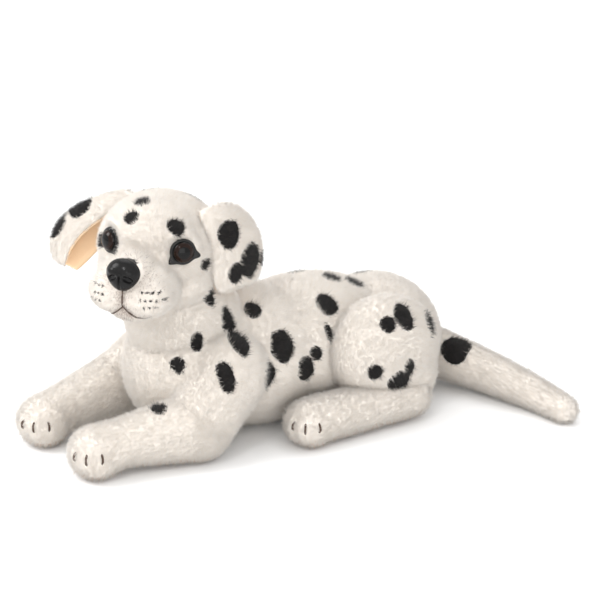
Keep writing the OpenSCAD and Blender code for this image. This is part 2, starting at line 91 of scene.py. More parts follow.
def sewn(name, lumps, voxel=1.6, smooth=8, shaped=None):
    """One closed skin drawn over the lumps, lying flat where it meets the floor."""
    bpy.ops.object.select_all(action="DESELECT")
    for egg in lumps:
        egg.select_set(True)
    bpy.context.view_layer.objects.active = lumps[0]
    bpy.ops.object.join()
    skin = bpy.context.object
    skin.name = skin.data.name = name
    bpy.ops.object.modifier_add(type="REMESH")
    skin.modifiers[-1].mode = "VOXEL"
    skin.modifiers[-1].voxel_size = voxel * MM
    bpy.ops.object.modifier_apply(modifier=skin.modifiers[-1].name)
    bpy.ops.object.modifier_add(type="SMOOTH")
    skin.modifiers[-1].factor = 0.5
    skin.modifiers[-1].iterations = smooth
    bpy.ops.object.modifier_apply(modifier=skin.modifiers[-1].name)
    bpy.ops.object.shade_smooth()
    co = points(skin) / MM
    if shaped:
        co = shaped(co)
    z = co[:, 2] / 2.5
    co[:, 2] = np.where(z > 3, co[:, 2], 0.3 + 2.4 * np.log1p(np.exp(np.minimum(z, 3) * 1.6)) / 1.6)
    skin.data.vertices.foreach_set("co", (co * MM).ravel())
    skin.data.update()
    return skin


trunk = [
    lump((0, -74, 39), (42, 44, 41)),
    lump((0, -40, 38), (41.5, 50, 40.5)),
    lump((0, -5, 39), (42, 60, 40)),
    lump((0, 45, 35), (41, 38, 36)),
]
for side, sign in SIDES.items():
    trunk += limb(hinge[f"front_{side}_leg_swing"] / MM, (sign * 31, -72, 44), 18.5, 22)
torso = sewn("torso_skin", trunk)
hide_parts("torso_left_panel", "torso_right_panel", "belly_panel", "torso_stuffing")
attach(torso, "torso")

# ---- Thighs
# Two egg-shaped lobes, each sewn to the torso round its edge, so a deep crease runs round it. The
# left one is stuffed a little higher.
thighs = {}
for side, sign in SIDES.items():
    top = 31 if side == "left" else 25
    lobe = [lump((sign * 42, 24, top + 11.5), (21.5, 35, top)), lump((sign * 38, 34, 26), (22, 26, 24))]
    thighs[side] = sewn(f"{side}_thigh_skin", lobe)
    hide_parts(f"{side}_thigh_panel", f"{side}_thigh_stuffing")
    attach(thighs[side], "torso")

# ---- Head and neck
# Two sides, a gusset from nose to nape, and a chin panel, over a firm filling. The gusset's seams
# pull the brow in above the eyes, and the plastic eyes dent the plush where they are locked.
HEAD = (
    Matrix.Translation(hinge["head_turn"] + Vector((3, -14, 36)) * MM)
    @ Matrix.Rotation(math.radians(43), 4, "Z")
    @ Matrix.Rotation(math.radians(4), 4, "Y")
)
EYES = {
    side: HEAD
    @ Matrix.Translation(Vector((out, -24.5, 9)) * MM)
    @ Matrix.Rotation(math.radians(SIDES[side] * 32), 4, "Z")
    @ Matrix.Rotation(math.radians(84), 4, "X")
    for side, out in (("left", 21.5), ("right", -19.3))
}
NOSE = HEAD @ Matrix.Translation(Vector((0, -53, 1.4)) * MM) @ Matrix.Rotation(math.radians(80), 4, "X")
MOUTH = [[(0, -57 + 0.14 * k, -6 - 2.1 * k) for k in range(6)]]
for sign in SIDES.values():
    lip = []
    for k in range(5):
        x = 3.2 * k
        lip.append((sign * x, -55.5 + 0.045 * x * x, -16.5 - 7.5 * math.sin(math.radians(8 * x))))
    MOUTH.append(lip)


def within(turned, co):
    """Places in mm in the row frame, as seen from the turned frame."""
    m = np.array(turned.inverted())
    return co @ m[:3, :3].T + m[:3, 3] / MM


def out_of(turned, co):
    m = np.array(turned)
    return co @ m[:3, :3].T + m[:3, 3] / MM


def ease(x):
    x = np.clip(x, 0, 1)
    return x * x * (3 - 2 * x)


def along(co, line):
    """Distance in mm from each place to a line through the given places."""
    near = np.full(len(co), 1e9)
    for a, b in zip(line, line[1:]):
        a, d = np.array(a, float), np.subtract(b, a).astype(float)
        t = np.clip((co - a) @ d / (d @ d), 0, 1)
        near = np.minimum(near, np.linalg.norm(co - a - t[:, None] * d, axis=1))
    return near


def pull_in(co):
    """The dents round the eyes and the creases of the mouth."""
    for turned in EYES.values():
        q = within(turned, co)
        w = ease((12 - np.hypot(q[:, 0], q[:, 1])) / 5) * (np.abs(q[:, 2]) < 14)
        q[:, 2] += w * (-0.6 - q[:, 2])
        co = out_of(turned, q)
    h = within(HEAD, co)
    w = ease(1 - np.minimum.reduce([along(h, line) for line in MOUTH]) / 3.2)
    h[:, 1] += 1.8 * w
    return out_of(HEAD, h)


skull = [
    lump((0, 0, 2), (34, 34, 29.5), HEAD),
    lump((0, -11, 14), (25, 22, 17), HEAD),
    lump((0, -34, -11), (22.5, 22, 16.5), HEAD),
    lump((0, -38, -1), (11.5, 18.5, 9.5), HEAD),
    lump((0, -39, -20), (13, 14, 7.5), HEAD),
]
for sign in SIDES.values():
    skull += [lump((sign * 15, -5, -11), (17.5, 20, 18), HEAD)]
    skull += [lump((sign * 9, -43, -11.5), (13.5, 13.5, 11.5), HEAD)]
    skull += [lump((sign * 13, -19, 15), (12, 11, 9.5), HEAD)]
skull += limb((0, -80, 58), HEAD @ (Vector((0, 3, -14)) * MM) / MM, 33, 27)
head = sewn("head_skin", skull, 1.2, 8, pull_in)
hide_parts("head_left_panel", "head_right_panel", "head_gusset", "chin_panel", "head_stuffing")
neck_axis = Vector(next(j["axis"] for j in frame["joints"] if j["name"] == "head_turn"))
neck = hinge["head_turn"]
neck_bend = ("torso", "head", neck - neck_axis * 6 * MM, neck + neck_axis * 12 * MM)
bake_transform(head)

# ---- Front legs
# Each is a stuffed tube with a round paw, sewn to the torso at the elbow, where it bends sideways.
legs, paws, leg_bends = {}, {}, {}
for side, sign in SIDES.items():
    name = f"front_{side}_leg"
    elbow = hinge[f"{name}_swing"] / MM
    low, high = (Vector(c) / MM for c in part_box(f"{name}_panel"))
    sole = sum(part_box(f"front_{side}_sole"), Vector()) / 2 / MM
    paw = Vector((sole.x, low.y + 15.5, 14))
    wrist = elbow.lerp(paw, 0.72)
    wrist.z = 17
    tube = limb(elbow, wrist, 18.5, 12.4) + limb(wrist, paw, 12.4, 13.4)
    for spread in (-7.5, 0, 7.5):
        tube += [lump((paw.x + spread * 0.9, paw.y - 2 + abs(spread) * 0.25, 13.4), (7.2, 12, 12))]
    paws[name] = paw
    legs[name] = sewn(f"{name}_skin", tube, 1.2, 6)
    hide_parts(f"{name}_panel", f"{name}_stuffing")
    heading = (paw - elbow).normalized()
    leg_bends[name] = ("torso", name, (elbow + heading * 8) * MM, (elbow + heading * 30) * MM)
    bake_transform(legs[name])

# ---- Hind feet
# Long flat feet, sewn on at the heel under each thigh, and lying forwards beside the belly.
feet = {}
for side, sign in SIDES.items():
    name = f"hind_{side}_foot"
    heel = hinge[f"{name}_swing"] / MM
    low, high = (Vector(c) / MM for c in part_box(f"{name}_panel"))
    paw = Vector(((high.x if sign > 0 else low.x) - sign * 15, low.y + 15, 13.4))
    tube = limb(heel.lerp(paw, 0.06), paw, 12.2, 12.8)
    for spread in (-7, 0, 7):
        tube += [lump((paw.x + spread * 0.9, paw.y - 3 + abs(spread) * 0.25, 12.6), (7, 11.4, 11))]
    paws[name] = paw
    feet[name] = sewn(f"{name}_skin", tube, 1.2, 6)
    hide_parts(f"{name}_panel", f"{name}_stuffing")
    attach(feet[name], name)

# ---- Tail
# A long tapered tube, stuffed, sewn on low at the rump and swept round to the dog's left.
TAIL_LENGTH, TAIL_STEPS, TAIL_BEARING = 109, 52, 28
root = hinge["tail_swing"] / MM
at, tube, tail_line = root.copy(), [], []
for i in range(TAIL_STEPS + 1):
    s = i / TAIL_STEPS
    r = 14.2 - 7.2 * s
    at.z = r + 0.4 + 4.6 * (1 - s) ** 2
    if s < 1 - 8 / TAIL_LENGTH:
        tail_line.append(at.copy())
        tube.append(lump(at, (r, r, r)))
    bearing = math.radians(TAIL_BEARING - TAIL_BEARING * s**1.2)
    at += Vector((math.cos(bearing), math.sin(bearing), 0)) * TAIL_LENGTH / TAIL_STEPS
tail = sewn("tail_skin", tube, 1.2, 6)
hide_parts("tail_panel", "tail_stuffing")
bearing = math.radians(TAIL_BEARING)
tail_heading = Vector((math.cos(bearing), math.sin(bearing), 0))
tail_bend = ("torso", "tail", (root + tail_heading * 10) * MM, (root + tail_heading * 34) * MM)
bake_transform(tail)

# ---- Ears
# Each is a plush leaf and a suede leaf sewn together round the edge, with no filling. The left one
# hangs against the head; the right one stands out, rolls over and shows its lining.
EARS = {
    "left": {
        "root": (29, -1, 28), "reach": 15, "arc": 135, "lean": 7, "drop": 44,
        "front": 16, "front_way": (-0.75, -0.55, -0.35),
        "rear": 21.5, "rear_way": (0.35, 0.93, -0.05),
    },
    "right": {
        "root": (-23, 8, 26), "reach": -41, "arc": 110, "lean": -11, "drop": 42,
        "front": 17, "front_way": (0.85, -0.5, -0.15),
        "rear": 25, "rear_way": (0.9, 0.2, -0.4),
    },
}


def ear_place(side, s, t):
    """A place in mm in the head's frame: s from root to tip, t from the front edge to the rear.
    The middle swings out by reach over an arc and falls by drop, and the edges stand off it."""
    ear = EARS[side]
    hanging = side == "left"
    swing = np.sin(np.radians(np.minimum(90 if hanging else 180, ear["arc"] * s)))
    fall = (1 - np.cos(np.pi * s)) / 2 if hanging else s**1.35
    away = np.stack([ear["reach"] * swing, ear["lean"] * s**1.5, -ear["drop"] * fall], 1)
    middle = np.array(ear["root"]) + away
    wide = np.sqrt(np.sin(np.pi * (0.06 + 0.87 * s)))[:, None]
    front = wide * ear["front"] * np.array(ear["front_way"])
    rear = wide * ear["rear"] * np.array(ear["rear_way"])
    t = t[:, None]
    return middle + front * t * (t - 1) / 2 + rear * t * (t + 1) / 2


def ear_leaf(name, side, low, high):
    """A closed leaf between two heights above the middle of the ear, the outer face being high."""
    bpy.ops.object.select_all(action="DESELECT")
    bpy.ops.mesh.primitive_grid_add(x_subdivisions=48, y_subdivisions=36, size=2)
    leaf = bpy.context.object
    leaf.name = leaf.data.name = name
    bpy.ops.object.modifier_add(type="SOLIDIFY")
    leaf.modifiers[-1].thickness = 1
    leaf.modifiers[-1].offset = 1
    bpy.ops.object.modifier_apply(modifier=leaf.modifiers[-1].name)
    co = points(leaf)
    s, t, up = (co[:, 0] + 1) / 2, co[:, 1] * (1.04 if high < 0 else 1), co[:, 2] > 0.5
    place = ear_place(side, s, t)
    out = np.cross(
        ear_place(side, np.minimum(s + 0.01, 1), t) - ear_place(side, np.maximum(s - 0.01, 0), t),
        ear_place(side, s, np.minimum(t + 0.01, 1)) - ear_place(side, s, np.maximum(t - 0.01, -1)),
    )
    out *= SIDES[side] / np.linalg.norm(out, axis=1, keepdims=True)
    edge = np.sqrt(1 - np.maximum(np.abs(co[:, 1]), 2 * np.maximum(s, 0.5) - 1) ** 8)
    lift = low + (high - low) * up * (0.3 + 0.7 * edge)
    place += out * lift[:, None]
    leaf.data.vertices.foreach_set("co", (out_of(HEAD, place) * MM).ravel())
    bpy.ops.object.mode_set(mode="EDIT")
    bpy.ops.mesh.select_all(action="SELECT")
    bpy.ops.mesh.normals_make_consistent(inside=False)
    bpy.ops.object.mode_set(mode="OBJECT")
    bpy.ops.object.shade_smooth()
    leaf.data.update()
    return leaf


ears = {}
linings = {}
for side in SIDES:
    ears[side] = ear_leaf(f"{side}_ear_plush", side, 0, 1.6)
    linings[side] = ear_leaf(f"{side}_ear_suede", side, 0, -1.1)
    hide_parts(f"{side}_ear_outer")
    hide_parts(f"{side}_ear_lining")
    for leaf in (ears[side], linings[side]):
        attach(leaf, f"{side}_ear")

# ---- Dye
# The plush is printed and airbrushed once it is sewn: black spots with ragged edges, a grey blush
# and a line for the mouth, and whisker dots. A tan low on the legs and feet, growing towards the
# floor, is painted shade and painted floor reflection.
FLANK_SPOTS = [
    (-71, 50, 4, 6), (-50, 60, 4.5, 5.5), (-91, 40, 3, 4), (-102, 25, 3.5, 5), (-70, 30, 5, 8),
    (-83, 10, 4.5, 8), (-41, 23, 6.5, 9), (-53, 3, 5, 7.5), (-27, 0, 5, 6.5), (-20, 12, 3, 3.5),
    (-5, 50, 6, 7), (11, 83, 4.5, 6), (25, 78, 6, 6), (-10, 25, 1.5, 4.5),
    (-60, 135, 7, 8), (-84, 170, 6, 9), (-36, 165, 8, 7), (-22, 130, 6, 6), (-12, 185, 6, 8),
    (-2, 110, 5, 5), (6, 145, 5, 6), (46, 120, 7, 6), (68, 150, 7, 7), (76, 70, 7, 6),
]
THIGH_SPOTS = {
    "left": [
        (29, 50, 5.5, 8), (17, 42, 4, 4.5), (7, -12, 4, 4.5),
        (23, -28, 7, 6.5), (29, -12, 3, 5), (49, 38, 3, 7),
    ],
    "right": [(20, 25, 7, 7), (36, -20, 5, 7), (4, -25, 5, 5), (44, 45, 5, 6)],
}
HEAD_SPOTS = [
    (-20, 60, 4), (-15, 40, 3.5), (35, 36, 4.2), (66, 0, 2.8), (80, -34, 3.6),
    (-55, 10, 3.8), (-135, 55, 6), (150, 50, 6), (-150, 30, 7), (170, 5, 7),
]
EAR_SPOTS = [
    ("left", 0.36, -0.15, 6), ("left", 0.62, 0.45, 7.5),
    ("left", 0.7, -0.15, 4.6), ("left", 0.62, 0.95, 3.5),
    ("right", 0.38, -0.25, 7), ("right", 0.64, -0.1, 6.5),
]
WHISKERS = []
for row, (count, step) in enumerate(((4, 0.5), (5, 0), (3, 2))):
    for sign, dots in ((1, count), (-1, 3)):
        WHISKERS += [(sign * (10.5 + step + 2.6 * k), -6.5 - 4 * row) for k in range(dots)]


def wobble(co, step, seed):
    """A smooth irregular value from -1 to 1."""
    rng = np.random.default_rng(seed)
    waves = rng.normal(size=(7, 3)) / step
    return np.sin(co @ waves.T + rng.uniform(0, 6.3, 7)).mean(1) * 1.6


def round_spots(co, middle, wide, high, spots):
    """Distance in mm to the edges of spots that lie round a trunk that runs back from its middle.
    Each is its place along the trunk, its angle up from the left, and its half length and height."""
    near = np.full(len(co), 99.0)
    for along_it, angle, half, tall in spots:
        c, s = math.cos(math.radians(angle)), math.sin(math.radians(angle))
        off = co - (middle[0] + wide * c, along_it, middle[1] + high * s)
        around, out = off[:, 2] * c - off[:, 0] * s, off[:, 0] * c + off[:, 2] * s
        d = np.sqrt((off[:, 1] / half) ** 2 + (around / tall) ** 2 + (out / 18) ** 2)
        near = np.minimum(near, (d - 1) * min(half, tall))
    return near


def dye_at(co, part):
    """Per place: distance to black, painted low shade and grey blush. co is in mm in the row frame."""
    h = within(HEAD, co)
    ragged = 0.6 * wobble(co, 3, 4) - 0.5
    tan, grey = np.zeros(len(co)), np.zeros(len(co))
    if part == "ear":
        edge = np.full(len(co), 99.0)
        for side, s, t, half in EAR_SPOTS:
            off = (h - ear_place(side, np.array([s]), np.array([t]))) * (1, 1, 0.8)
            edge = np.minimum(edge, np.linalg.norm(off, axis=1) - half)
        return edge + ragged, tan, grey
    edge = round_spots(co, (0, 39), 43, 42, FLANK_SPOTS)
    if part == "thigh":
        edge = np.full(len(co), 99.0)
        for side, sign in SIDES.items():
            seen = co * (sign, 1, 1)
            marks = round_spots(seen, (42, 43), 22, 31, THIGH_SPOTS[side])
            edge = np.where(seen[:, 0] > 0, marks, edge)
    if part == "tail":
        spot = np.array(tail_line[10]) + (2, -5, 9)
        edge = np.minimum(edge, np.linalg.norm(co - spot, axis=1) - 9)
    if part == "paw":
        elbow = hinge["front_left_leg_swing"] / MM
        spot = np.array(elbow.lerp(paws["front_left_leg"], 0.36)) + (0, 0, 14)
        edge = np.minimum(edge, np.linalg.norm((co - spot) * (0.8, 1, 1), axis=1) - 4.6)
        # Painted shade and painted floor reflection: a tan that grows over the lowest 8 mm towards the
        # floor.
        tan = 0.8 * ease((8 - co[:, 2]) / 8)
    if part == "head":
        far = np.linalg.norm(h, axis=1)
        for turn, rise, half in HEAD_SPOTS:
            turn, rise = math.radians(turn), math.radians(rise)
            flat = math.cos(rise)
            way = np.array([math.sin(turn) * flat, -math.cos(turn) * flat, math.sin(rise)])
            edge = np.minimum(edge, np.linalg.norm(h - far[:, None] * way, axis=1) - half)
        over_nose = np.linalg.norm((h - (0, -50, 9)) / (8.6, 5, 4.6), axis=1)
        edge = np.minimum(edge, (over_nose - 1) * 4.6)
        dots = [np.hypot(h[:, 0] - x, h[:, 2] - z) for x, z in WHISKERS]
        dots = np.minimum.reduce(dots) - 0.62 + 9 * (h[:, 1] > -38) - ragged
        line = np.minimum.reduce([along(h, way) for way in MOUTH])
        edge = np.minimum.reduce([edge, dots, line - 0.8 - ragged])
        muzzle = np.linalg.norm(h - (0, -52, 0), axis=1)
        chin = np.linalg.norm(h - (1, -50, -21), axis=1)
        grey = 0.75 * ease(1 - line / 5) + 0.4 * ease(1 - muzzle / 24)
        grey = np.clip(grey + 0.9 * ease(1 - chin / 8), 0, 1)
    return edge + ragged, tan, grey


def shader(name, rough=0.9, gloss=0.3):
    mat = bpy.data.materials.new(name)
    mat.use_nodes = True
    made = mat.node_tree.nodes["Principled BSDF"]
    made.inputs["Roughness"].default_value = rough
    made.inputs["Specular IOR Level"].default_value = gloss
    return mat, mat.node_tree.nodes, mat.node_tree.links, made


def mixed(nodes, links, share, a, b):
    """A colour between a and b, which are colours or sockets."""
    mix = nodes.new("ShaderNodeMix")
    mix.data_type = "RGBA"
    links.new(share, mix.inputs["Factor"])
    for socket, value in ((mix.inputs[6], a), (mix.inputs[7], b)):
        if isinstance(value, tuple):
            socket.default_value = (*value, 1)
        else:
            links.new(value, socket)
    return mix.outputs[2]


def noise(nodes, links, scale, detail=3.0):
    """A noise pattern that is fixed to the piece, its scale in waves a metre."""
    where = nodes.new("ShaderNodeTexCoord")
    made = nodes.new("ShaderNodeTexNoise")
    made.inputs["Scale"].default_value = scale
    made.inputs["Detail"].default_value = detail
    links.new(where.outputs["Object"], made.inputs["Vector"])
    return made.outputs[0]


def ramp(nodes, links, value, low, high):
    made = nodes.new("ShaderNodeMapRange")
    made.inputs["From Min"].default_value = low
    made.inputs["From Max"].default_value = high
    links.new(value, made.inputs["Value"])
    return made.outputs["Result"]


def bumped(nodes, links, made, height, strength, depth):
    bump = nodes.new("ShaderNodeBump")
    bump.inputs["Strength"].default_value = strength
    bump.inputs["Distance"].default_value = depth * MM
    links.new(height, bump.inputs["Height"])
    links.new(bump.outputs["Normal"], made.inputs["Normal"])


plush, nodes, links, made = shader("plush", 0.95)
spot = nodes.new("ShaderNodeAttribute")
spot.attribute_name = "spot"
shade = nodes.new("ShaderNodeAttribute")
shade.attribute_name = "shade"
fine = noise(nodes, links, 900)
broad = noise(nodes, links, 60)
ragged = nodes.new("ShaderNodeMath")
ragged.operation = "MULTIPLY_ADD"
links.new(fine, ragged.inputs[0])
ragged.inputs[1].default_value = 2.4
links.new(spot.outputs["Fac"], ragged.inputs[2])
white = mixed(nodes, links, broad, (0.88, 0.81, 0.73), (0.92, 0.86, 0.79))
# The grey blush of the muzzle and the painted shade low on the legs darken the white towards brown.
ground = mixed(nodes, links, shade.outputs["Fac"], white, (0.50, 0.42, 0.37))
black = ramp(nodes, links, ragged.outputs[0], 1.6, 1.0)
links.new(mixed(nodes, links, black, ground, (0.018, 0.016, 0.016)), made.inputs["Base Color"])
made.inputs["Sheen Weight"].default_value = 0.3
bumped(nodes, links, made, fine, 0.3, 0.3)


def part_of(name):
    """Which pattern a skin has, from its name."""
    for part in ("head", "thigh", "tail"):
        if part in name:
            return part
    return "paw" if "_" in name else "body"


def dye(skin, part):
    co = points(skin) / MM
    edge, tan, grey = dye_at(co, part)
    # The second attribute holds the grey blush and the painted shade low on the legs and feet.
    for name, value in (("spot", edge), ("shade", np.maximum(tan * 0.6, grey))):
        attribute = skin.data.attributes.new(name, "FLOAT", "POINT")
        attribute.data.foreach_set("value", value.astype(np.float32))
    skin.data.materials.append(plush)


skins = {"torso": torso, "head": head, "tail": tail, **legs, **feet}
for side in SIDES:
    skins[f"{side}_thigh"] = thighs[side]
for name, skin in skins.items():
    dye(skin, part_of(name))
for side in SIDES:
    dye(ears[side], "ear")

suede, nodes, links, made = shader("suede", 0.95)
nap = noise(nodes, links, 1400)
tone = mixed(nodes, links, noise(nodes, links, 120), (0.90, 0.62, 0.38), (0.96, 0.72, 0.48))
links.new(tone, made.inputs["Base Color"])
made.inputs["Sheen Weight"].default_value = 0.4
bumped(nodes, links, made, nap, 0.5, 0.3)
for side in SIDES:
    linings[side].data.materials.append(suede)

# ---- Eyes
# Safety eyes: a glossy brown dome with a black pupil, its shank locked by a washer behind the
# plush. A black leatherette rim with pointed corners lies round each.
glass, nodes, links, made = shader("eye_iris", 0.06, 0.2)
tone = mixed(nodes, links, noise(nodes, links, 500), (0.008, 0.003, 0.0015), (0.018, 0.007, 0.004))
links.new(tone, made.inputs["Base Color"])
pupil, nodes, links, made = shader("eye_black", 0.05, 0.2)
made.inputs["Base Color"].default_value = (0.004, 0.004, 0.004, 1)
rimmed, nodes, links, made = shader("leatherette", 0.4)
tone = mixed(nodes, links, noise(nodes, links, 700), (0.008, 0.008, 0.008), (0.02, 0.019, 0.018))
links.new(tone, made.inputs["Base Color"])
bumped(nodes, links, made, noise(nodes, links, 1500), 0.3, 0.1)


def corner(angle, at, width):
    """How much a direction belongs to a corner of the rim, from 0 to 1."""
    off = (angle - math.radians(at) + math.pi) % (2 * math.pi) - math.pi
    return np.exp(-(off**2) / width**2)


for side, turned in EYES.items():
    sign = SIDES[side]
    bpy.ops.object.select_all(action="DESELECT")
    bpy.ops.mesh.primitive_uv_sphere_add(segments=64, ring_count=48, radius=1)
    eye = bpy.context.object
    eye.name = eye.data.name = f"{side}_eye_dome"
    co = points(eye)
    wide = np.hypot(co[:, 0], co[:, 1])
    front = 4.3 * np.maximum(co[:, 2], 0) ** 0.9
    co[:, 2] = 1.1 + np.where(co[:, 2] > 0, front, 2.2 * co[:, 2])
    co[:, :2] *= 6.0
    for mat in (pupil, glass):
        eye.data.materials.append(mat)
    middle = np.array([np.mean(wide[list(p.vertices)]) for p in eye.data.polygons])
    eye.data.polygons.foreach_set("material_index", ((middle > 0.56) & (middle < 0.9)).astype(np.int32))
    eye.data.vertices.foreach_set("co", (out_of(turned, co) * MM).ravel())
    bpy.ops.object.shade_smooth()
    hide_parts(f"{side}_eye")
    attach(eye, "head")

    bpy.ops.mesh.primitive_torus_add(
        major_segments=96, minor_segments=16, major_radius=1, minor_radius=0.2
    )
    rim = bpy.context.object
    rim.name = rim.data.name = f"{side}_eye_rim_leather"
    co = points(rim)
    angle = np.arctan2(co[:, 1], co[:, 0] * sign)
    radius = (np.hypot(co[:, 0], co[:, 1]) - 0.8) / 0.4
    outer = 7.2 + 2.9 * corner(angle, -14, 0.24) + 2.9 * corner(angle, -138, 0.26)
    far = 5.5 + (outer - 5.5) * radius
    height = 1.3 + co[:, 2] * 5 - 0.4 * radius
    co = np.stack([np.cos(angle) * sign * far, np.sin(angle) * far, height], 1)
    rim.data.vertices.foreach_set("co", (out_of(turned, co) * MM).ravel())
    rim.data.materials.append(rimmed)
    bpy.ops.object.shade_smooth()
    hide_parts(f"{side}_eye_rim")
    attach(rim, "head")

# ---- Nose
# One moulded black plastic piece, wide above and narrow below, with two nostrils and a groove
# down the middle. Its shank is locked inside the muzzle like the eyes'.
bpy.ops.object.select_all(action="DESELECT")
bpy.ops.mesh.primitive_uv_sphere_add(segments=96, ring_count=72, radius=1)
nose = bpy.context.object
nose.name = nose.data.name = "nose_moulded"
co = points(nose)
x, y, z = co.T
narrow = 1 - 0.20 * ease((-y + 0.3) / 1.3) + 0.04 * ease(y)
co = np.stack([x * 9.6 * narrow, y * 8.7, z * np.where(z > 0, 6.4, 3) + 1.4], 1)
for sign in (1, -1):
    d = np.hypot((co[:, 0] - sign * 4.4) / 2.3, (co[:, 1] + 0.6 + 0.25 * sign * co[:, 0]) / 1.5)
    co[:, 2] -= 2.1 * ease(1.5 - d) * (z > 0)
    ridge = np.hypot((co[:, 0] - sign * 5.4) / 3.2, (co[:, 1] - 2.0) / 2.2)
    co[:, 2] += 0.7 * ease(1.3 - ridge) * (z > 0)
co[:, 2] -= 1.1 * ease(1 - np.abs(co[:, 0]) / 0.9) * ease((-co[:, 1] + 1.5) / 3) * (z > 0)
nose.data.vertices.foreach_set("co", (out_of(NOSE, co) * MM).ravel())
bpy.ops.object.shade_smooth()
moulded, nodes, links, made = shader("nose_plastic", 0.2, 0.16)
tone = mixed(nodes, links, noise(nodes, links, 400), (0.006, 0.006, 0.006), (0.014, 0.013, 0.013))
links.new(tone, made.inputs["Base Color"])
bumped(nodes, links, made, noise(nodes, links, 2500), 0.15, 0.06)
nose.data.materials.append(moulded)
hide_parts("nose")
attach(nose, "head")

# ---- Mouth and claws
# Rows of dark thread: the mouth follows the seam between muzzle and chin, and three long stitches
# on each paw stand for claws.
thread, nodes, links, made = shader("thread", 0.75)
tone = mixed(nodes, links, noise(nodes, links, 900), (0.045, 0.026, 0.018), (0.10, 0.06, 0.042))
links.new(tone, made.inputs["Base Color"])
bumped(nodes, links, made, noise(nodes, links, 3000), 0.6, 0.15)


def stitch(line, r, name):
    """A round thread through places in mm in the row frame, its ends drawn into the cloth."""
    path = bpy.data.curves.new(name, "CURVE")
    path.dimensions = "3D"
    path.bevel_depth = r * MM
    path.bevel_resolution = 3
    path.use_fill_caps = True
    spline = path.splines.new("NURBS")
    spline.points.add(len(line) - 1)
    for place, point in zip(line, spline.points):
        point.co = (*(Vector(place) * MM), 1)
    spline.use_endpoint_u = True
    spline.order_u = 3
    obj = bpy.data.objects.new(name, path)
    bpy.context.collection.objects.link(obj)
    bpy.ops.object.select_all(action="DESELECT")
    obj.select_set(True)
    bpy.context.view_layer.objects.active = obj
    bpy.ops.object.convert(target="MESH")
    return bpy.context.object


def thread_piece(name, lines, r, node, body):
    parts = [stitch(line, r, name) for line in lines]
    bpy.ops.object.select_all(action="DESELECT")
    for part in parts:
        part.select_set(True)
    bpy.context.view_layer.objects.active = parts[0]
    if len(parts) > 1:
        bpy.ops.object.join()
    sewn_on = bpy.context.object
    sewn_on.name = sewn_on.data.name = name
    sewn_on.data.materials.append(thread)
    bpy.ops.object.shade_smooth()
    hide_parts(node)
    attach(sewn_on, body)


def tree_of(obj):
    verts, faces = obj.data.vertices, obj.data.polygons
    return BVHTree.FromPolygons([v.co for v in verts], [p.vertices for p in faces])


def surface_under(tree, place, way):
    """Where a line from the place, going the given way, meets the skin; both in the row frame."""
    hit, normal, _, _ = tree.ray_cast(Vector(place) * MM, Vector(way).normalized())
    return hit / MM, normal


ahead = HEAD.to_3x3() @ Vector((0, 1, 0))
head_tree = tree_of(head)
mouth_lines = []
for way in MOUTH:
    line = []
    for a, b in zip(way, way[1:]):
        for k in range(5):
            place = HEAD @ ((Vector(a).lerp(b, k / 4) + Vector((0, -14, 0))) * MM)
            hit, normal = surface_under(head_tree, place / MM, ahead)
            line.append(hit + normal * 0.5)
    mouth_lines.append(line)
thread_piece("mouth_thread", mouth_lines, 0.42, "mouth_stitching", "head")

claw_places = []
for name, skin in {**legs, **feet}.items():
    paw, skin_tree = paws[name], tree_of(skin)
    lines = []
    facing = -48 if name == "hind_right_foot" else 48
    for spread in (facing - 34, facing, facing + 34):
        lead = Vector((math.sin(math.radians(spread)), -math.cos(math.radians(spread)), 0))
        line = []
        for up in (-12, -6, 0, 6, 12):
            tilt = math.radians(up + 5)
            way = lead * math.cos(tilt) + Vector((0, 0, math.sin(tilt)))
            hit, normal = surface_under(skin_tree, paw + way * 40, -way)
            line.append(hit + normal * (-0.6 if abs(up) > 11 else 1.2))
        claw_places += line
        lines.append(line)
    node = name.replace("_leg", "_claws").replace("_foot", "_claws")
    thread_piece(f"{node}_thread", lines, 0.62, node, name)

# ---- Soles
# A patch of tan suede is sewn flat under each paw.
for name in {**legs, **feet}:
    node = name.replace("_leg", "_sole").replace("_foot", "_sole")
    low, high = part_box(node)
    bpy.ops.object.select_all(action="DESELECT")
    bpy.ops.mesh.primitive_cylinder_add(vertices=48, radius=1, depth=1)
    patch = bpy.context.object
    bpy.ops.object.modifier_add(type="BEVEL")
    patch.modifiers[-1].width = 0.2
    patch.modifiers[-1].segments = 3
    bpy.ops.object.modifier_apply(modifier=patch.modifiers[-1].name)
    patch.name = patch.data.name = f"{node}_patch"
    co = points(patch)
    middle = (low + high) / 2 / MM
    size = (high - low) / MM
    x, y = middle.x + co[:, 0] * size.x / 2, middle.y + co[:, 1] * size.y / 2
    co = np.stack([x, y, 0.7 + co[:, 2] * 1.1], 1)
    patch.data.vertices.foreach_set("co", (co * MM).ravel())
    patch.data.materials.append(suede)
    bpy.ops.object.shade_smooth()
    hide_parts(node)
    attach(patch, name)

# ---- Pile
# Short fibres, about three millimetres long, stand over all the plush. They are combed away from
# the nose, down the sides and towards the paws and the tail's tip.
PILE = {
    "white": (0.94, 0.875, 0.795),
    "warm": (0.92, 0.84, 0.75),
    "bright": (0.96, 0.915, 0.86),
    "black": (0.014, 0.013, 0.013),
    "brown": (0.035, 0.028, 0.025),
    # The tan fibres are painted shade and painted floor reflection low on the legs and feet.
    "tan": (0.74, 0.56, 0.44),
    "grey": (0.42, 0.35, 0.31),
}
pile_mats = []
for name, colour in PILE.items():
    mat, nodes, links, made = shader(f"pile_{name}", 0.9)
    made.inputs["Base Color"].default_value = (*colour, 1)
    made.inputs["Sheen Weight"].default_value = 0.15
    pile_mats.append(mat)
BLACK, BROWN, FLOOR_SHADE, GREY = 3, 4, 5, 6
FIBRES_IN_A_PIECE = 48000
trees = {name: tree_of(skin) for name, skin in skins.items()}
stitched = np.array(claw_places)


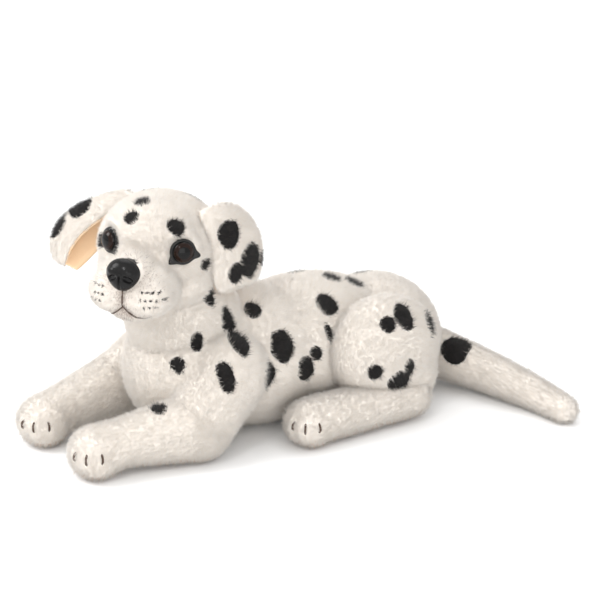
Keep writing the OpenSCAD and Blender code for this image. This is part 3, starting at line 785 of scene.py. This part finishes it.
def tucked(name, co):
    """Which vertices of a skin lie inside another one."""
    hidden = np.zeros(len(co), bool)
    for other, tree in trees.items():
        if other == name:
            continue
        for i in np.flatnonzero(~hidden):
            spot, normal, _, far = tree.find_nearest(Vector(co[i]) * MM, 0.02)
            if spot is not None and (Vector(co[i]) * MM - spot).dot(normal) < -0.0015:
                hidden[i] = True
    return hidden


def comb(name, co):
    """The way the fibres lie, in the row frame."""
    if name == "head":
        h = within(HEAD, co)
        way = np.stack([h[:, 0] * 0.6, h[:, 1] + 62, h[:, 2] * 0.5 - 6], 1)
        return way / np.linalg.norm(way, axis=1, keepdims=True) @ np.array(HEAD.to_3x3()).T
    way = {
        "torso": (0, 1, -0.6),
        "tail": (1, 0.25, -0.2),
    }.get(name, (0, -1, -0.5) if "leg" in name or "foot" in name else (0, 0.6, -1))
    return np.tile(np.array(way, float) / np.linalg.norm(way), (len(co), 1))


def pile(name, skin, part, density, length, fit, covered=None):
    """Fibres on a skin, so many to the mm2 and so long in mm; they ride with the body fit names, else
    stay put.
    """
    rng = np.random.default_rng(sum(map(ord, name)))
    co, nor = points(skin) / MM, points(skin, "normal")
    skin.data.calc_loop_triangles()
    tri = np.empty(len(skin.data.loop_triangles) * 3, np.int32)
    skin.data.loop_triangles.foreach_get("vertices", tri)
    tri = tri.reshape(-1, 3)
    bare = co[:, 2] < 0.9
    if part != "ear":
        bare |= tucked(name, co)
    if part == "head":
        for turned in EYES.values():
            q = within(turned, co)
            bare |= (np.hypot(q[:, 0], q[:, 1]) < 6.8) & (np.abs(q[:, 2]) < 8)
        q = within(NOSE, co)
        bare |= (np.hypot(q[:, 0] / 8.6, q[:, 1] / 7.4) < 1) & (np.abs(q[:, 2]) < 9)
    if covered is not None:
        bare |= covered(co)
    tri = tri[~bare[tri].any(1)]
    a, b, c = (co[tri[:, k]] for k in range(3))
    area = np.linalg.norm(np.cross(b - a, c - a), axis=1) / 2
    n = int(area.sum() * density)
    pick = rng.choice(len(tri), n, p=area / area.sum())
    u, v = rng.random((2, n))
    over = u + v > 1
    u[over], v[over] = 1 - u[over], 1 - v[over]
    w = 1 - u - v
    a, b, c = tri[pick].T
    u, v, w = u[:, None], v[:, None], w[:, None]
    root, up = (x[a] * w + x[b] * u + x[c] * v for x in (co, nor))
    up /= np.linalg.norm(up, axis=1, keepdims=True)
    lie = comb(name, root)
    lie -= (lie * up).sum(1, keepdims=True) * up
    swirl = np.stack([wobble(root, 9, 11), wobble(root, 9, 12), wobble(root, 9, 13)], 1)
    way = up * 0.85 + lie * 0.4 + swirl * 0.1 + rng.normal(size=(n, 3)) * 0.36
    way -= np.minimum(0, (way * up).sum(1, keepdims=True) - 0.3) * up
    way /= np.linalg.norm(way, axis=1, keepdims=True)
    if "leg" in name or "foot" in name:
        near = np.min(np.linalg.norm(root[:, None] - stitched[None], axis=2), axis=1)
        keep = near > 1.0
        root, up, way = root[keep], up[keep], way[keep]
        n = len(root)
    long = length * rng.uniform(0.7, 1.15, n) * np.where(rng.random(n) < 0.07, 1.5, 1)
    if part == "head":
        far = np.linalg.norm(within(HEAD, root) - (0, -50, -8), axis=1)
        long *= 0.55 + 0.45 * ease((far - 14) / 16)
    tip = root + way * long[:, None]
    tip[:, 2] = np.maximum(tip[:, 2], 0.25)
    side = np.cross(way, rng.normal(size=(n, 3)))
    side /= np.linalg.norm(side, axis=1, keepdims=True)
    cross = np.cross(way, side)
    wide = rng.uniform(0.11, 0.18, n)[:, None]
    ring = []
    for k in range(3):
        turn = k * math.tau / 3
        foot = root - way * 0.4 + wide * (side * math.cos(turn) + cross * math.sin(turn))
        foot[:, 2] = np.maximum(foot[:, 2], 0.1)
        ring.append(foot)
    verts = np.stack([*ring, tip], 1)
    soft = up * 0.92 + way * 0.16
    soft /= np.linalg.norm(soft, axis=1, keepdims=True)
    edge, tan, grey = dye_at(root, part)
    chance = rng.random(n)
    kind = rng.choice(3, n, p=(0.5, 0.3, 0.2))
    # Low on the legs and feet, tan fibres paint shade and floor reflection.
    kind[chance < tan * 0.75] = FLOOR_SHADE
    kind[chance < grey * 0.75] = GREY
    dark = edge + rng.normal(size=n) * 0.35 < 0
    kind[dark] = np.where(rng.random(dark.sum()) < 0.8, BLACK, BROWN)
    count = -(-n // FIBRES_IN_A_PIECE)
    for k in range(count):
        share = slice(k * n // count, (k + 1) * n // count)
        m = len(verts[share])
        title = f"{name}_pile" + (f"_{k + 1}" if count > 1 else "")
        mesh = bpy.data.meshes.new(title)
        mesh.vertices.add(4 * m)
        mesh.vertices.foreach_set("co", (verts[share].reshape(-1, 3) * MM).ravel())
        faces = np.array([[0, 1, 3], [1, 2, 3], [2, 0, 3], [0, 2, 1]])
        loops = (faces[None] + 4 * np.arange(m)[:, None, None]).ravel()
        mesh.loops.add(12 * m)
        mesh.loops.foreach_set("vertex_index", loops)
        mesh.polygons.add(4 * m)
        mesh.polygons.foreach_set("loop_start", np.arange(4 * m) * 3)
        mesh.polygons.foreach_set("material_index", np.repeat(kind[share], 4))
        mesh.update(calc_edges=True)
        for mat in pile_mats:
            mesh.materials.append(mat)
        mesh.shade_smooth()
        mesh.normals_split_custom_set_from_vertices(np.repeat(soft[share], 4, axis=0))
        hair = bpy.data.objects.new(title, mesh)
        bpy.context.collection.objects.link(hair)
        if isinstance(fit, str):
            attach(hair, fit)
        else:
            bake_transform(hair)


bends = {"head": neck_bend, "tail": tail_bend, **leg_bends}
for name, skin in skins.items():
    fit = bends.get(name, name if "foot" in name else "torso")
    part = part_of(name)
    density, length = (4.8, 2.6) if part == "head" else (3.0, 3.1)
    pile(name, skin, part, density, length, fit)
for side in SIDES:
    lining_tree = tree_of(linings[side])

    def on_lining(co):
        """Which vertices of the plush leaf lie against its lining."""
        near = [lining_tree.find_nearest(Vector(c) * MM) for c in co]
        return np.array([far / MM < 0.35 for _, _, _, far in near])

    pile(f"{side}_ear", ears[side], "ear", 4, 2.4, f"{side}_ear", on_lining)

# ---- Studio
# A plain near-white floor under soft light, seen from the dog's front left, a little above it.
bpy.ops.object.select_all(action="DESELECT")
bpy.ops.mesh.primitive_plane_add(size=8)
floor = bpy.context.object
floor.name = "floor"
paper, nodes, links, made = shader("paper", 0.9)
made.inputs["Base Color"].default_value = (0.93, 0.93, 0.93, 1)
floor.data.materials.append(paper)
world = bpy.data.worlds.new("studio")
world.use_nodes = True
world.node_tree.nodes["Background"].inputs["Color"].default_value = (1, 1, 1, 1)
world.node_tree.nodes["Background"].inputs["Strength"].default_value = 1.1
bpy.context.scene.world = world
aim = Vector((-0.013, 0, 0.06))
for name, place, size, power in (
    ("key", (-0.45, -1.15, 1.15), 0.7, 12),
    ("fill", (1.3, -0.6, 0.35), 1.0, 5),
    ("top", (-0.5, 0.2, 1.5), 1.0, 5),
    ("glint", (0.55, -0.75, 0.95), 0.12, 1.6),
):
    light = bpy.data.lights.new(name, "AREA")
    light.size = size
    light.energy = power
    lamp = bpy.data.objects.new(name, light)
    lamp.location = place
    lamp.rotation_euler = (aim - Vector(place)).to_track_quat("-Z", "Y").to_euler()
    bpy.context.collection.objects.link(lamp)
scene = bpy.context.scene
scene.view_settings.view_transform = "Standard"
turn, rise = math.radians(60), math.radians(19)
back = Vector((math.sin(turn) * math.cos(rise), -math.cos(turn) * math.cos(rise), math.sin(rise)))
lens = bpy.data.cameras.new("camera")
lens.lens = 100
lens.sensor_width = 36
camera = bpy.data.objects.new("camera", lens)
camera.location = aim + back
camera.rotation_euler = (-back).to_track_quat("-Z", "Y").to_euler()
bpy.context.collection.objects.link(camera)
scene.camera = camera
